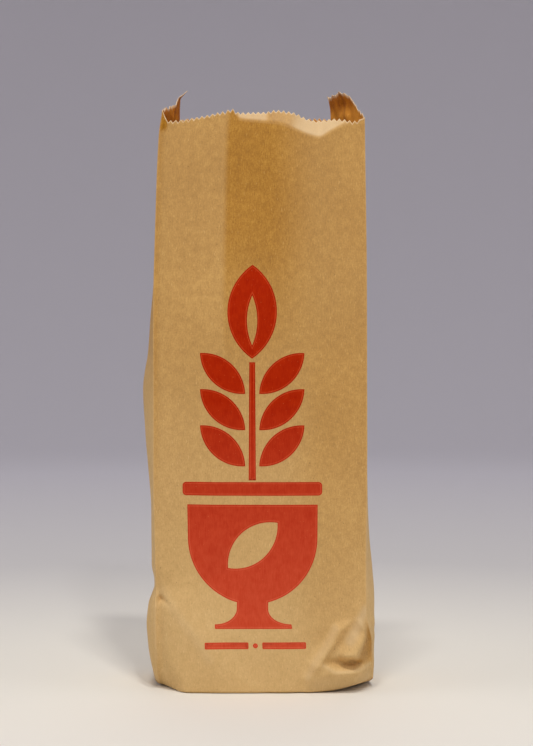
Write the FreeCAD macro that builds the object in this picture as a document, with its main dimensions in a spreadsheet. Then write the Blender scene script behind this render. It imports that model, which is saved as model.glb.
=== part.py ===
"""A side-gusseted kraft paper bag with a pinched base and a saw-cut rim, standing open, in millimetres.

+Z is up, the printed front faces -Y, and the origin is on the surface that the bag stands on, under the
middle of its base. The bag is one sheet of paper. It is divided here at its creases, which are its hinges:
the corner creases turn about the paper's inner faces, and the centre creases of the gussets and the two
base edges about its outer faces, so that no ply passes through another as the bag folds flat.
"""
import FreeCAD, Part
import os
import Sketcher

DIMENSIONS = {
    "width": 95.0,  # across the front
    "depth": 57.0,  # across an opened gusset
    "rim": 257.0,  # height of the front and back above the surface
    "ear": 10.0,  # how far a gusset's centre crease stands above the rim
    "paper": 0.12,
    "glue": 0.04,
    "ink": 0.03,
    "crease": 0.04,  # gap between two facets at a crease that opens
    "lift": 0.08,  # gap between a gusset's lower edge and the folded corner under it
    "teeth": 40,  # across the front
    "ear_teeth": 12,  # along the top of half a gusset
    "tooth_deep": 1.2,
    "tooth_tip": 0.3,  # flat left on each tooth
    "lap_teeth": 3,  # the long seam reaches this many teeth either side of the middle
    "glue_edge": 1.5,  # paper left bare beside a glue line
    "hem": 12.0,
    "tuck": 26.0,  # how far a folded corner reaches from its base edge
    "mark_x": -3.5,  # centre line of the print
    "mark_wide": 62.0,
    "rule_low": 20.0,
    "rule_tall": 3.0,
    "rule_wide": 19.0,
    "rule_gap": 6.0,
    "foot_low": 29.0,
    "foot_tall": 4.0,
    "foot_wide": 32.0,
    "neck_wide": 14.0,
    "bowl_low": 40.0,
    "bowl_round": 29.0,  # radius of the bowl's lower half
    "bowl_straight": 15.0,
    "lip_gap": 4.0,
    "lip_tall": 6.0,
    "stem_wide": 3.2,
    "stem_tall": 53.0,
    "leaf_gap": 1.5,  # bare paper between a leaf and the stem
    "leaf_long": 27.0,
    "leaf_wide": 11.5,
    "leaf_step": 16.0,
    "leaf_first": 7.0,
    "leaf_lean": 48.0,  # degrees from upright
    "crown_long": 41.5,
    "crown_wide": 22.0,
}
LEAF_PAIRS = 3
SIDES = {"left": -1, "right": 1}
ENDS = {"front": -1, "rear": 1}

doc = FreeCAD.newDocument("paper_bag")
sheet = doc.addObject("Spreadsheet::Sheet", "Dims")
for row, (alias, number) in enumerate(DIMENSIONS.items(), start=1):
    sheet.set(f"A{row}", alias)
    sheet.set(f"B{row}", str(number))
    sheet.setAlias(f"B{row}", alias)


def derived(alias, formula):
    """Adds a cell that is worked out from the driving ones."""
    row = len(DIMENSIONS) + len(extra) + 1
    sheet.set(f"A{row}", alias)
    sheet.set(f"B{row}", formula)
    sheet.setAlias(f"B{row}", alias)
    extra.append(alias)


extra = []
derived("half_wide", "=width / 2")
derived("half_deep", "=depth / 2")
derived("base_low", "=paper + glue")  # underside of the base, which lies on the hem
derived("base_top", "=base_low + paper")
derived("tuck_top", "=base_top + 2 * paper")
derived("pitch", "=width / teeth")
derived("lap", "=lap_teeth * pitch")
derived("half_gusset", "=half_deep - paper - crease / 2")
derived("bowl_mid", "=bowl_low + bowl_round")
derived("bowl_top", "=bowl_mid + bowl_straight")
derived("lip_low", "=bowl_top + lip_gap")
derived("stem_low", "=lip_low + lip_tall")
derived("crown_mid", "=stem_low + stem_tall + leaf_gap + crown_long / 2")
doc.recompute()

pieces = []


def worked_out(expression):
    """The number that an expression on the sheet gives now."""
    return float(sheet.evalExpression(expression))


def in_sheet(formula):
    """Prefixes each alias in a formula with the sheet's name."""
    known = sorted(list(DIMENSIONS) + extra, key=len, reverse=True)
    words, word = [], ""
    for letter in formula + " ":
        if letter.isalpha() or letter == "_":
            word += letter
        else:
            words.append("Dims." + word if word in known else word)
            words.append(letter)
            word = ""
    return "".join(words).strip()


def bind(thing, **formulas):
    """Binds properties of an object to the sheet; __ stands for a dot in a property's path."""
    for name, formula in formulas.items():
        thing.setExpression(name.replace("__", "."), in_sheet(formula))


def place(thing, x="0", y="0", z="0"):
    """Binds the three coordinates of an object's Placement."""
    bind(thing, Placement__Base__x=x, Placement__Base__y=y, Placement__Base__z=z)


def finished(thing, label):
    """Names a sub-part and lists it for export."""
    thing.Label = label
    pieces.append(thing)
    return thing


def outline(body, name, role, corners):
    """A closed sketch on one of a body's origin planes, each corner held at two formulas."""
    sketch = body.newObject("Sketcher::SketchObject", name)
    plane = next(f for f in body.Origin.OriginFeatures if f.Role == role)
    sketch.AttachmentSupport = [(plane, "")]
    sketch.MapMode = "FlatFace"
    formulas = [(in_sheet(u), in_sheet(v)) for u, v in corners]
    points = [FreeCAD.Vector(worked_out(u), worked_out(v), 0) for u, v in formulas]
    count = len(points)
    for i in range(count):
        sketch.addGeometry(Part.LineSegment(points[i], points[(i + 1) % count]))
    for i in range(count):
        sketch.addConstraint(Sketcher.Constraint("Coincident", i, 2, (i + 1) % count, 1))
    for i, (formula, point) in enumerate(zip(formulas, points)):
        for kind, part, number in zip(("DistanceX", "DistanceY"), formula, point[:2]):
            held = sketch.addConstraint(Sketcher.Constraint(kind, -1, 1, i, 1, number))
            sketch.setExpression(f"Constraints[{held}]", part)
    return sketch


def pad(body, name, sketch, thickness):
    """Pads a sketch along its normal."""
    feature = body.newObject("PartDesign::Pad", name)
    feature.Profile = sketch
    bind(feature, Length=thickness)
    sketch.Visibility = False
    return feature


def saw_cut(body, role, start, run, count, slope="0"):
    """Cuts notches along a top edge that starts at a point and runs up at a slope."""
    doc.recompute()
    before = body.Shape.Volume
    step = f"({run}) / {count}"
    half = f"({step} - tooth_tip) / 2"
    notch = outline(
        body,
        "Notch",
        role,
        [("0", "-tooth_deep"), (f"1.5 * {half}", "tooth_deep / 2"), (f"-1.5 * {half}", "tooth_deep / 2")],
    )
    notch.AttachmentOffset = FreeCAD.Placement(FreeCAD.Vector(), FreeCAD.Vector(0, 0, 1), 1)
    bind(
        notch,
        AttachmentOffset__Rotation__Angle=slope,
        AttachmentOffset__Base__x=f"{start[0]} + {step} / 2 * cos({slope})",
        AttachmentOffset__Base__y=f"{start[1]} + {step} / 2 * sin({slope})",
    )
    cut = body.newObject("PartDesign::Pocket", "Tooth")
    cut.Profile = notch
    cut.Reversed = True
    bind(cut, Length="10 * paper")
    notch.Visibility = False
    row = body.newObject("PartDesign::LinearPattern", "Teeth")
    row.Originals = [cut]
    row.Direction = (notch, ["H_Axis"])
    bind(row, Length=f"{run} - {step}", Occurrences=count)
    body.Tip = row
    doc.recompute()
    if body.Shape.Volume >= before:
        raise RuntimeError(f"the saw cut took nothing from {body.Label}")


def sheet_body(label):
    """A body for a facet of the bag."""
    return finished(doc.addObject("PartDesign::Body", label), label)


def broad_panel(label, low_x, high_x, outer_y, teeth):
    """A flat facet that faces front or back, its thickness towards -Y from outer_y."""
    body = sheet_body(label)
    corners = [(low_x, "base_top"), (high_x, "base_top"), (high_x, "rim"), (low_x, "rim")]
    pad(body, "Ply", outline(body, "Facet", "XZ_Plane", corners), "paper")
    saw_cut(body, "XZ_Plane", (low_x, "rim"), f"{high_x} - ({low_x})", teeth)
    place(body, y=outer_y)


def joggled_panel(label):
    """The right side of the back: its seam strip steps inwards, to lie under the left side's edge."""
    body = sheet_body(label)
    strip_in, strip_out = "-2 * paper - glue", "-paper - glue"
    plan = [
        ("-lap", strip_in),
        ("lap + crease + paper", strip_in),
        ("lap + crease + paper", "-paper"),
        ("half_wide", "-paper"),
        ("half_wide", "0"),
        ("lap + crease", "0"),
        ("lap + crease", strip_out),
        ("-lap", strip_out),
    ]
    pad(body, "Ply", outline(body, "Plan", "XY_Plane", plan), "rim - base_top")
    saw_cut(body, "XZ_Plane", ("-lap", "rim - base_top"), "half_wide + lap", "teeth / 2 + lap_teeth")
    place(body, y="half_deep", z="base_top")


def gusset_half(side, end):
    """Half of a side, from a corner crease to the centre crease, its top rising to the ear."""
    body = sheet_body(f"gusset_{side}_{end}")
    low, corner = "tuck_top + lift", "half_deep - paper"
    slope = "atan(ear / half_gusset)"
    if end == "rear":
        corners = [("crease / 2", low), (corner, low), (corner, "rim"), ("crease / 2", "rim + ear")]
        start, slope = ("crease / 2", "rim + ear"), f"-{slope}"
    else:
        corners = [(f"-({corner})", low), ("-crease / 2", low), ("-crease / 2", "rim + ear")]
        corners.append((f"-({corner})", "rim"))
        start = (f"-({corner})", "rim")
    pad(body, "Ply", outline(body, "Facet", "YZ_Plane", corners), "paper")
    saw_cut(body, "YZ_Plane", start, "sqrt(half_gusset ^ 2 + ear ^ 2)", "ear_teeth", slope)
    place(body, x="-half_wide" if side == "left" else "half_wide - paper")


def slab(label, x, y, z):
    """A rectangular piece between pairs of coordinates."""
    box = doc.addObject("Part::Box", label)
    bind(box, Length=f"{x[1]} - ({x[0]})", Width=f"{y[1]} - ({y[0]})", Height=f"{z[1]} - ({z[0]})")
    place(box, x[0], y[0], z[0])
    return box


def corner_tuck(side, end):
    """The two-ply triangle that the end of half a gusset makes, flat on the base."""
    sx, sy = SIDES[side], ENDS[end]
    body = sheet_body(f"corner_tuck_{end}_{side}")
    plan = [("half_wide", "half_deep - paper"), ("half_wide", "half_deep - tuck")]
    plan += [("half_wide - tuck", "half_deep - tuck"), ("half_wide - paper", "half_deep - paper")]
    corners = [(f"{sx} * ({u})", f"{sy} * ({v})") for u, v in plan]
    pad(body, "Plies", outline(body, "Triangle", "XY_Plane", corners), "2 * paper")
    place(body, z="base_top")


def ink_box(name, width, low, height, middle="0"):
    """A bar of ink, centred on the print's centre line or beside it."""
    centre = f"mark_x + ({middle})"
    span = (f"{centre} - ({width}) / 2", f"{centre} + ({width}) / 2")
    return slab(name, span, ("-half_deep - ink", "-half_deep"), (low, f"{low} + {height}"))


def ink_disc(name, radius, x, z):
    """A round film of ink, its axis along Y."""
    disc = doc.addObject("Part::Cylinder", name)
    bind(disc, Radius=radius, Height="ink")
    disc.Placement = FreeCAD.Placement(FreeCAD.Vector(), FreeCAD.Vector(1, 0, 0), 90)
    place(disc, x, "-half_deep", z)
    return disc


def ink_leaf(name, long, wide, x, z, lean):
    """A pointed leaf of ink, where two discs meet, leaning from upright."""
    radius = f"(({long}) ^ 2 + ({wide}) ^ 2) / (4 * ({wide}))"
    arcs = [ink_disc(f"{name}_{way}", radius, f"{way} * ({radius} - ({wide}) / 2)", "0") for way in (-1, 1)]
    leaf = doc.addObject("Part::Common", name)
    leaf.Base, leaf.Tool = arcs
    leaf.Placement = FreeCAD.Placement(FreeCAD.Vector(), FreeCAD.Vector(0, 1, 0), 1)
    place(leaf, x, "0", z)
    bind(leaf, Placement__Rotation__Angle=lean)
    return leaf


def printed_mark():
    """A plain mortar with a sprig standing in it, over two short rules and a dot."""
    rules = [
        ink_box(f"rule_{side}", "rule_wide", "rule_low", "rule_tall", f"{way} * (rule_wide + rule_gap) / 2")
        for side, way in SIDES.items()
    ]
    dot = ink_disc("rule_dot", "rule_tall / 3", "mark_x", "rule_low + rule_tall / 2")
    foot = ink_box("foot", "foot_wide", "foot_low", "foot_tall")
    neck = ink_box("neck", "neck_wide", "foot_low + foot_tall", "bowl_low - foot_low")
    round_part = ink_disc("bowl_disc", "bowl_round", "mark_x", "bowl_mid")
    half_plane = ink_box("bowl_half", "3 * bowl_round", "bowl_mid - 2 * bowl_round", "2 * bowl_round")
    lower = doc.addObject("Part::Common", "bowl_lower")
    lower.Base, lower.Tool = round_part, half_plane
    upper = ink_box("bowl_upper", "2 * bowl_round", "bowl_mid", "bowl_straight")
    bowl = doc.addObject("Part::MultiFuse", "bowl_whole")
    bowl.Shapes = [foot, neck, lower, upper]
    bare = ink_leaf("bare_leaf", "bowl_round", "bowl_round / 2", "mark_x", "bowl_mid", "leaf_lean")
    vessel = doc.addObject("Part::Cut", "vessel")
    vessel.Base, vessel.Tool = bowl, bare
    lip = ink_box("lip", "mark_wide", "lip_low", "lip_tall")
    stem = ink_box("stem", "stem_wide", "stem_low", "stem_tall")
    leaves = [ink_leaf("crown", "crown_long", "crown_wide", "mark_x", "crown_mid", "0")]
    for pair in range(LEAF_PAIRS):
        for side, way in SIDES.items():
            x = f"mark_x + {way} * (stem_wide / 2 + leaf_gap + leaf_long / 2 * sin(leaf_lean))"
            z = f"stem_low + leaf_first + {pair} * leaf_step + leaf_long / 2 * cos(leaf_lean)"
            name = f"leaf_{side}_{pair + 1}"
            leaves.append(ink_leaf(name, "leaf_long", "leaf_wide", x, z, f"{way} * leaf_lean"))
    mark = doc.addObject("Part::MultiFuse", "printed_mark")
    mark.Shapes = [vessel, lip, stem, dot] + rules + leaves
    finished(mark, "printed_mark")


broad_panel("front_panel", "-half_wide", "half_wide", "-half_deep + paper", "teeth")
printed_mark()
broad_panel("back_panel_left", "-half_wide", "lap", "half_deep", "teeth / 2 + lap_teeth")
joggled_panel("back_panel_right")
lap_glue = ("-lap + glue_edge", "lap - glue_edge")
seam = slab(
    "back_seam_glue",
    lap_glue,
    ("half_deep - paper - glue", "half_deep - paper"),
    ("base_top + hem", "rim - hem"),
)
finished(seam, "back_seam_glue")
for side in SIDES:
    for end in ENDS:
        gusset_half(side, end)
        corner_tuck(side, end)
across = ("-half_wide", "half_wide")
ply = ("base_low", "base_top")
finished(slab("base_front_flap", across, ("-half_deep", "-crease / 2"), ply), "base_front_flap")
finished(slab("base_rear_flap", across, ("crease / 2", "half_deep"), ply), "base_rear_flap")
finished(slab("base_hem", across, ("crease / 2", "hem"), ("0", "paper")), "base_hem")
hem_glue = slab("base_hem_glue", across, ("glue_edge", "hem - glue_edge"), ("paper", "base_low"))
finished(hem_glue, "base_hem_glue")

doc.recompute()
for thing in doc.Objects:
    if {"Invalid", "Error"} & set(thing.State):
        raise RuntimeError(f"{thing.Label} failed: {thing.State}")
for piece in pieces:
    if piece.Shape.isNull() or not piece.Shape.isValid() or piece.Shape.Volume <= 0:
        raise RuntimeError(f"{piece.Label} has no valid shape")

os.makedirs("parts", exist_ok=True)
for piece in pieces:
    piece.Shape.exportStep(f"parts/{piece.Label}.step")
    print(f"{piece.Label}: {piece.Shape.Volume:.1f} mm3 in {len(piece.Shape.Solids)} solid(s)")
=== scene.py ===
import math

import bmesh
import bpy
import numpy as np
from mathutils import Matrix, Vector, noise
from mathutils.geometry import delaunay_2d_cdt


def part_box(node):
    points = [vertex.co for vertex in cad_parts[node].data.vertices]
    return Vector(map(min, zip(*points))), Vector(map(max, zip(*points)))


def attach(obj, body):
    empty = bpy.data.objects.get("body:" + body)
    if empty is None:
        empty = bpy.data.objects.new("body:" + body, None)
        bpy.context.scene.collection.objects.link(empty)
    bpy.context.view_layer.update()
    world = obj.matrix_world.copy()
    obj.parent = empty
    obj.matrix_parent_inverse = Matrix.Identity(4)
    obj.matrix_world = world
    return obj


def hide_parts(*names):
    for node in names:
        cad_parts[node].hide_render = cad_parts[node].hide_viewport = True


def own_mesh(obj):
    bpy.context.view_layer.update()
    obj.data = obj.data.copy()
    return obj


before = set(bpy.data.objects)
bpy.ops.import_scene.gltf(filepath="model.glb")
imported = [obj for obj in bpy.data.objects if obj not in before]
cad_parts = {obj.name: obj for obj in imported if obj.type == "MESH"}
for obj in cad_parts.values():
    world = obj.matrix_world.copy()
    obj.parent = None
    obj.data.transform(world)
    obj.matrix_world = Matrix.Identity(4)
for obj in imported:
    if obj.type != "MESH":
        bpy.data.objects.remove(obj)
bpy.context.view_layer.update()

# A paper bag standing open. Lengths here are millimetres until a mesh is made. Every facet of the bag is
# a sheet between two creases, so neighbouring sheets share the crease that they meet at.
MM = 0.001
front_low, front_high = (np.array(corner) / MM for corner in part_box("front_panel"))
back_high = np.array(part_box("back_panel_left")[1]) / MM
HALF_WIDE = front_high[0]
HALF_DEEP = -front_low[1]
RIM = front_high[2]
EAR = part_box("gusset_left_front")[1][2] / MM - RIM
LAP = back_high[0]  # the long seam reaches this far either side of the middle
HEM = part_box("base_hem")[1][1] / MM
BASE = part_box("base_rear_flap")[0][2] / MM
TUCK = HALF_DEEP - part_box("corner_tuck_rear_left")[0][1] / MM
PLY = 0.2  # the paper with its raised fibres
TOOTH = 2 * HALF_WIDE / 40
EAR_TOOTH = HALF_DEEP / 12
TOOTH_DEEP = 1.3
CREASE_ROUND = 0.55  # radius where the paper turns a corner
FOOT_ROUND = 1.0
CREASE_REACH = 0.7  # how far from a crease its fibres are worn
PINNED = 3.0  # within this of a crease a sheet's relief fades out
CURL = {"left": 0.004, "right": 0.016}  # how fast the ears lean inwards above the mouth
MOUTH = 240  # the ears' crinkles start at this height
EAR_FOOT = 257.5  # and their lean at this one
WISP = 266.2
SHARP = math.radians(50)


def smooth(points):
    """A curve through points that doesn't overshoot them."""
    at, value = np.array(points, float).T
    step = np.diff(at)
    slope = np.diff(value) / step
    lean = np.zeros(len(at))
    lean[0], lean[-1] = slope[0], slope[-1]
    both = slope[:-1] * slope[1:]
    lean[1:-1] = np.where(both > 0, 2 * both / (slope[:-1] + slope[1:] + 1e-12), 0)

    def curve(x):
        x = np.clip(x, at[0], at[-1])
        i = np.clip(np.searchsorted(at, x) - 1, 0, len(at) - 2)
        t = (x - at[i]) / step[i]
        start = value[i] + step[i] * lean[i] * t * (1 - t) ** 2 + slope[i] * step[i] * t * t * (3 - 2 * t)
        return start - step[i] * lean[i + 1] * t * t * (1 - t)

    return curve


def curves(lists):
    return {name: smooth(points) for name, points in lists.items()}


def shares(count):
    """Evenly spaced shares, from 0 to 1."""
    return np.linspace(0, 1, count)


def ease(x):
    """0 below 0 and 1 above 1, with a smooth step between."""
    x = np.clip(x, 0, 1)
    return x * x * (3 - 2 * x)


class Relief:
    """How far a sheet stands out from its flat facet, by place on the sheet: straight between the given folds
    and spots, so that it bends in creases as paper does, softened a little, with fine waves over it."""

    CELL = 0.5

    def __init__(self, low, high, folds, spots, soft=1.2, waves=0.12, seed=0.0):
        self.low = np.array(low, float)
        self.shape = np.ceil((np.array(high) - self.low) / self.CELL).astype(int) + 1
        axes = [self.low[i] + self.CELL * np.arange(self.shape[i]) for i in (0, 1)]
        a, b = np.meshgrid(*axes, indexing="ij")
        points, ridges = list(spots), []
        for fold in folds:
            ridges += [(len(points) + i, len(points) + i + 1) for i in range(len(fold) - 1)]
            points += fold
        self.height = self.soften(self.between(a, b, points, ridges), soft)
        self.height += waves * self.ripples(axes, seed)

    @staticmethod
    def between(a, b, points, ridges):
        """Heights on flat triangles between the points, with an edge along every ridge."""
        flat = [Vector(p[:2]) for p in points]
        made = delaunay_2d_cdt(flat, ridges, [], 0, 1e-5)
        spots, triangles, came = made[0], made[2], made[3]
        level = np.array([points[c[0]][2] if c else 0.0 for c in came])
        out = np.zeros_like(a)
        for tri in triangles:
            (x0, y0), (x1, y1), (x2, y2) = (spots[i] for i in tri)
            area = (x1 - x0) * (y2 - y0) - (x2 - x0) * (y1 - y0)
            w1 = ((a - x0) * (y2 - y0) - (x2 - x0) * (b - y0)) / area
            w2 = ((x1 - x0) * (b - y0) - (a - x0) * (y1 - y0)) / area
            inside = (w1 >= -1e-9) & (w2 >= -1e-9) & (w1 + w2 <= 1 + 1e-9)
            here = level[tri[0]] * (1 - w1 - w2) + level[tri[1]] * w1 + level[tri[2]] * w2
            out[inside] = here[inside]
        return out

    def soften(self, height, soft):
        reach = int(3 * soft / self.CELL)
        kernel = np.exp(-0.5 * (np.arange(-reach, reach + 1) * self.CELL / soft) ** 2)
        kernel /= kernel.sum()
        for axis in (0, 1):
            pad = [(reach, reach) if i == axis else (0, 0) for i in (0, 1)]
            wide = np.pad(height, pad, mode="edge")
            height = np.apply_along_axis(lambda line: np.convolve(line, kernel, "valid"), axis, wide)
        return height

    def ripples(self, axes, seed):
        """Slow unevenness of handled paper, sampled coarsely and read between."""
        coarse = [np.arange(line[0], line[-1] + 4, 2.0) for line in axes]
        field = np.array([[self.ripple(x, y, seed) for y in coarse[1]] for x in coarse[0]])
        rows = np.array([np.interp(axes[1], coarse[1], row) for row in field])
        return np.array([np.interp(axes[0], coarse[0], column) for column in rows.T]).T

    @staticmethod
    def ripple(x, y, seed):
        slow = noise.noise(Vector((x / 26, y / 60, seed)))
        quick = noise.noise(Vector((x / 9, y / 15, seed + 7)))
        return 2.2 * slow + 0.55 * quick

    def __call__(self, a, b):
        u = np.clip((a - self.low[0]) / self.CELL, 0, self.shape[0] - 1.001)
        v = np.clip((b - self.low[1]) / self.CELL, 0, self.shape[1] - 1.001)
        i, j = u.astype(int), v.astype(int)
        u, v = u - i, v - j
        g = self.height
        top = g[i, j + 1] * (1 - u) + g[i + 1, j + 1] * u
        return (g[i, j] * (1 - u) + g[i + 1, j] * u) * (1 - v) + top * v


# ---- the creases and edges ---------------------------------------------------------------------------

# Where each corner crease stands across the bag, by height.
corner_x = curves({
    "front_left": [(0, -45.4), (5, -45.9), (14, -46.7), (30, -47.1), (40, -46.9), (45, -46.4), (62, -46.7),
        (95, -47.4), (160, -47.4), (215, -46.2), (247, -44.8), (257, -43.4)],
    "front_right": [(0, 50.4), (9, 50.5), (18, 50.0), (23, 49.8), (28, 48.6), (35, 47.1), (60, 47.0),
        (90, 47.4), (180, 47.2), (257, 46.2)],
    "back_left": [(0, -47.0), (60, -47.6), (180, -47.3), (257, -45.6)],
    "back_right": [(0, 47.4), (60, 47.6), (180, 47.2), (257, 46.0)],
})
# How far the corner creases draw back from the front and back near the foot.
setback = curves({
    "front_left": [(0, 16.0), (4, 11.0), (9, 6.0), (22, 1.8), (36, 0.2), (46, 1.6), (56, 0.2), (257, 0)],
    "front_right": [(0, 4.5), (9, 7.0), (16, 6.8), (24, 2.4), (33, -2.4), (44, -1.2), (64, 0), (257, 0)],
    "foot_right": [(0, 9.0), (5, 5.0), (9, 1.6), (13, 0), (257, 0)],
    "back_left": [(0, 7.0), (10, 4.0), (26, 0.6), (40, 0), (257, 0)],
    "back_right": [(0, 8.0), (10, 4.6), (28, 0.8), (42, 0), (257, 0)],
})
# How far a gusset's centre crease is pushed in at each height, below 0 where it bulges out.
pushed_in = curves({
    "left": [(0, -0.4), (9, -1.9), (18, -3.1), (29, -3.6), (37, -2.9), (44, -0.5), (54, -2.2), (80, -2.3),
        (98, -3.7), (116, -5.1), (134, -6.0), (151, -3.7), (170, -2.2), (195, 2.5), (225, 7.5), (257, 10.8)],
    "right": [(0, -1.5), (15, -1.8), (25, -1.6), (31, -4.0), (37, -4.4), (50, -3.8), (71, -1.8), (100, -0.6),
        (150, 0.8), (190, 4.5), (225, 11), (257, 15.5)],
})
# Height of the front's lower edge and of its saw-cut rim, across the front.
front_foot = smooth(
    [(-47.5, 0.8), (-43, 0.5), (-38, 0.2), (-10, 0.2), (5, 0.3), (18, 0.3), (28, 0.6), (34, 1.5), (40, 3.0),
     (47.5, 4.2)]
)
front_rim = smooth(
    [(-47.5, 258.4), (-44.6, 254.0), (-42.5, 253.7), (-30, 255.4), (-19, 257.9), (-14.5, 259), (-12.3, 257.7),
     (1, 257.8), (5, 258.3), (14.5, 257.2), (24, 254.2), (33, 254.8), (43, 253.6), (47.5, 255.0)]
)
back_foot = smooth([(-47.5, 2.6), (-38, 0.7), (0, 0.3), (36, 0.6), (47.5, 3.0)])
back_rim = smooth([(-47.5, 257), (-33, 260.2), (-20, 259), (4, 257), (27, 260.3), (36, 259.4), (47.5, 257)])
# The lip of the rim is bent back above this line, by this slope.
lip_line = smooth(
    [(-47.5, 270), (-15.5, 262), (-13, 257), (-10.5, 254), (1, 252.6), (8, 251.8), (15, 249.2), (21, 246.8),
     (26, 245.6), (31.5, 248.4), (37, 251.2), (43.5, 253.6), (47.5, 262)]
)
lip_slope = smooth(
    [(-14, 0.9), (-8, 1.25), (1.5, 1.2), (4.5, 0.55), (13, 0.6), (19, 1.2), (31, 1.35), (40, 0.8)]
)

# Each point is (across, height, stands out).
front_folds = [
    # the two corner creases
    [(-47.5, -4, 0), (-47.5, 60, 0), (-47.5, 150, 0), (-47.5, 265, 0)],
    [(47.5, -4, 0), (47.5, 60, 0), (47.5, 150, 0), (47.5, 265, 0)],
    # by the mouth: dished along a fold left of the middle, full along a rounder one right of it
    [(-41.5, 265, 1.6), (-42, 222, 2.2), (-42.4, 180, 2.0), (-43.0, 120, 1.4)],
    [(-44.2, 262, 2.2), (-44.4, 250, 1.7), (-44.6, 240, 0.9)],
    [(-15.2, 265, -0.8), (-16.2, 222, -0.8), (-18.5, 190, 0.2), (-22, 158, 2.3)],
    [(10.5, 265, 5.4), (11, 225, 4.4), (11, 185, 3.8), (8, 150, 3.2)],
    [(23, 265, 6.2), (24, 225, 5.0), (24, 185, 3.8), (20, 150, 3.0)],
    # low on the left: a soft slanting fold from the knee
    [(-45.9, 44.4, 0.2), (-39.6, 38, 4.2), (-31, 27.5, 5.8), (-24.5, 17, 6.0)],
    [(-45.5, 38, -0.7), (-45.4, 24, -0.9), (-45.2, 12, -0.4)],
    [(-43.2, 37, 1.8), (-42.4, 24, 2.6), (-41.8, 12, 2.8)],
    # low on the right: a slanting ridge whose upper flank faces up, and a broader one beside the corner
    [(31.0, 30.2, 4.4), (24.6, 22.4, 4.0), (18.4, 13.8, 4.2), (15.8, 6.6, 4.4)],
    [(34.2, 28.6, 6.8), (28.8, 20.6, 8.6), (23.4, 12.6, 8.6), (20.6, 6.2, 6.6)],
    [(35.2, 28.0, 5.4), (31.0, 20.4, 6.0), (27.4, 15.0, 5.6)],
    [(46.4, 42, 0.8), (43.0, 34.0, 2.2), (38.4, 27.6, 3.4), (33.8, 21.8, 4.2)],
    [(47.3, 32, 1.0), (45.6, 27.4, 5.4), (42.6, 21.8, 8.8), (39.4, 17.2, 9.2), (36.0, 17.0, 8.4)],
    # a pit under the two ridges, and a ledge under the pit
    [(27.4, 15.0, 5.6), (31, 13.9, 3.6), (35, 13.2, 1.6), (39.4, 13.4, -1.0), (41.6, 13.0, -0.2)],
    [(41.8, 17.4, 7.0), (43.0, 14.8, 4.6), (43.4, 12.4, 4.0)],
    [(47.2, 25, -0.4), (46.4, 20, -0.8), (45.8, 15.5, -0.6), (46.0, 12.6, 0.4)],
    [(25.8, 13.0, 6.8), (30.6, 9.4, 8.2), (38, 9.8, 8.0), (43.4, 10.6, 6.0), (46.6, 11.2, 2.2)],
]
front_spots = [
    (43.8, 265, 1.4), (43.8, 180, 1.0), (2, 246, 3.9), (2.5, 222, 3.0), (-29.5, 246, 0.9),
    (-20, 110, 3.2), (15, 110, 3.4), (43.6, 115, 0.9), (-22, 66, 4.4), (4, 64, 5.0), (24, 66, 4.2),
    (43.4, 62, 1.2),
    (-36, -4, 2.8), (-18, -4, 3.8), (2, -4, 3.6), (16, -4, 3.4), (30, -4, 4.8), (40, -4, 3.4), (-18, 26, 5.2),
    (6, 24, 5.0), (-45.5, 42.4, -3.4), (-43.6, 45.4, 1.8), (-44.8, 48.6, 1.2), (-44.2, 40, 1.1),
    (-31, 48, 3.5),
    (-36, 15, 3.6), (33.4, 19.4, 5.0), (32.4, 16.8, 5.4),
]
front_relief = Relief((-48, -2), (48, 262), front_folds, front_spots, soft=0.6, seed=3.0)
back_folds = [
    [(-47.5, -4, 0), (-47.5, 100, 0), (-47.5, 265, 0)],
    [(47.5, -4, 0), (47.5, 100, 0), (47.5, 265, 0)],
    [(-44, -4, 1.4), (-44, 60, 1.6), (-44, 170, 1.2), (-43.6, 265, 0.4)],
    [(44, -4, 1.4), (44, 60, 1.6), (44, 170, 1.2), (43.6, 265, 0.4)],
    [(-18, 265, -2.2), (-17, 225, -0.6), (-14, 186, 1.6)],
    [(26, 265, 1.6), (22, 220, 2.2), (16, 178, 3.2)],
    [(-38, 34, 2.0), (-24, 20, 4.2), (-14, 8, 4.6)],
    [(38, 30, 1.8), (30, 17, 3.8), (18, 9, 4.4)],
]
back_spots = [
    (0, -4, 3.2), (-30, -4, 2.4), (30, -4, 2.2), (-14, 62, 4.4), (22, 72, 3.4), (4, 140, 3.6),
    (-26, 140, 2.6),
    (4, 30, 3.6), (8, 250, -1.2), (-34, 18, 2.4), (36, 12, 2.0),
]
back_relief = Relief((-48, -2), (48, 262), back_folds, back_spots, soft=1.4, seed=11.0)
# Gussets: (share of the way from the corner crease to the centre crease, height, stands out).
gusset_points = {
    "left_front": [(0.35, 30, 2.6), (0.5, 46, -0.6), (0.4, 95, 0.6), (0.45, 134, 1.6), (0.5, 185, 0.4)],
    "left_rear": [(0.5, 32, 1.6), (0.4, 80, -0.4), (0.5, 134, 1.0), (0.45, 200, 0.6)],
    "right_front": [(0.35, 28, 2.2), (0.3, 18, 1.4), (0.5, 50, 1.0), (0.5, 110, 0.4), (0.5, 190, 0.8)],
    "right_rear": [(0.5, 30, 1.2), (0.45, 90, 0.8), (0.5, 150, -0.4), (0.5, 205, 0.7)],
}


def edge_round(distance):
    """How far a sheet falls back beside a crease, where the paper turns the corner."""
    short = np.clip(1 - distance / CREASE_ROUND, 0, 1)
    return CREASE_ROUND * (1 - np.sqrt(1 - 0.5 * short**2))


def turn_under(above):
    """How far a sheet falls back where it rounds the bottom fold."""
    short = np.clip(1 - above / FOOT_ROUND, 0, 1)
    return FOOT_ROUND * (1 - np.sqrt(1 - short**2))


def lip_back(s, z):
    """How far the bent lip leans back at a place on the front."""
    over = z - lip_line(s)
    turn = 1.6
    run = np.where(over > turn, over - turn / 2, np.clip(over, 0, None) ** 2 / (2 * turn))
    return lip_slope(s) * run


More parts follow.
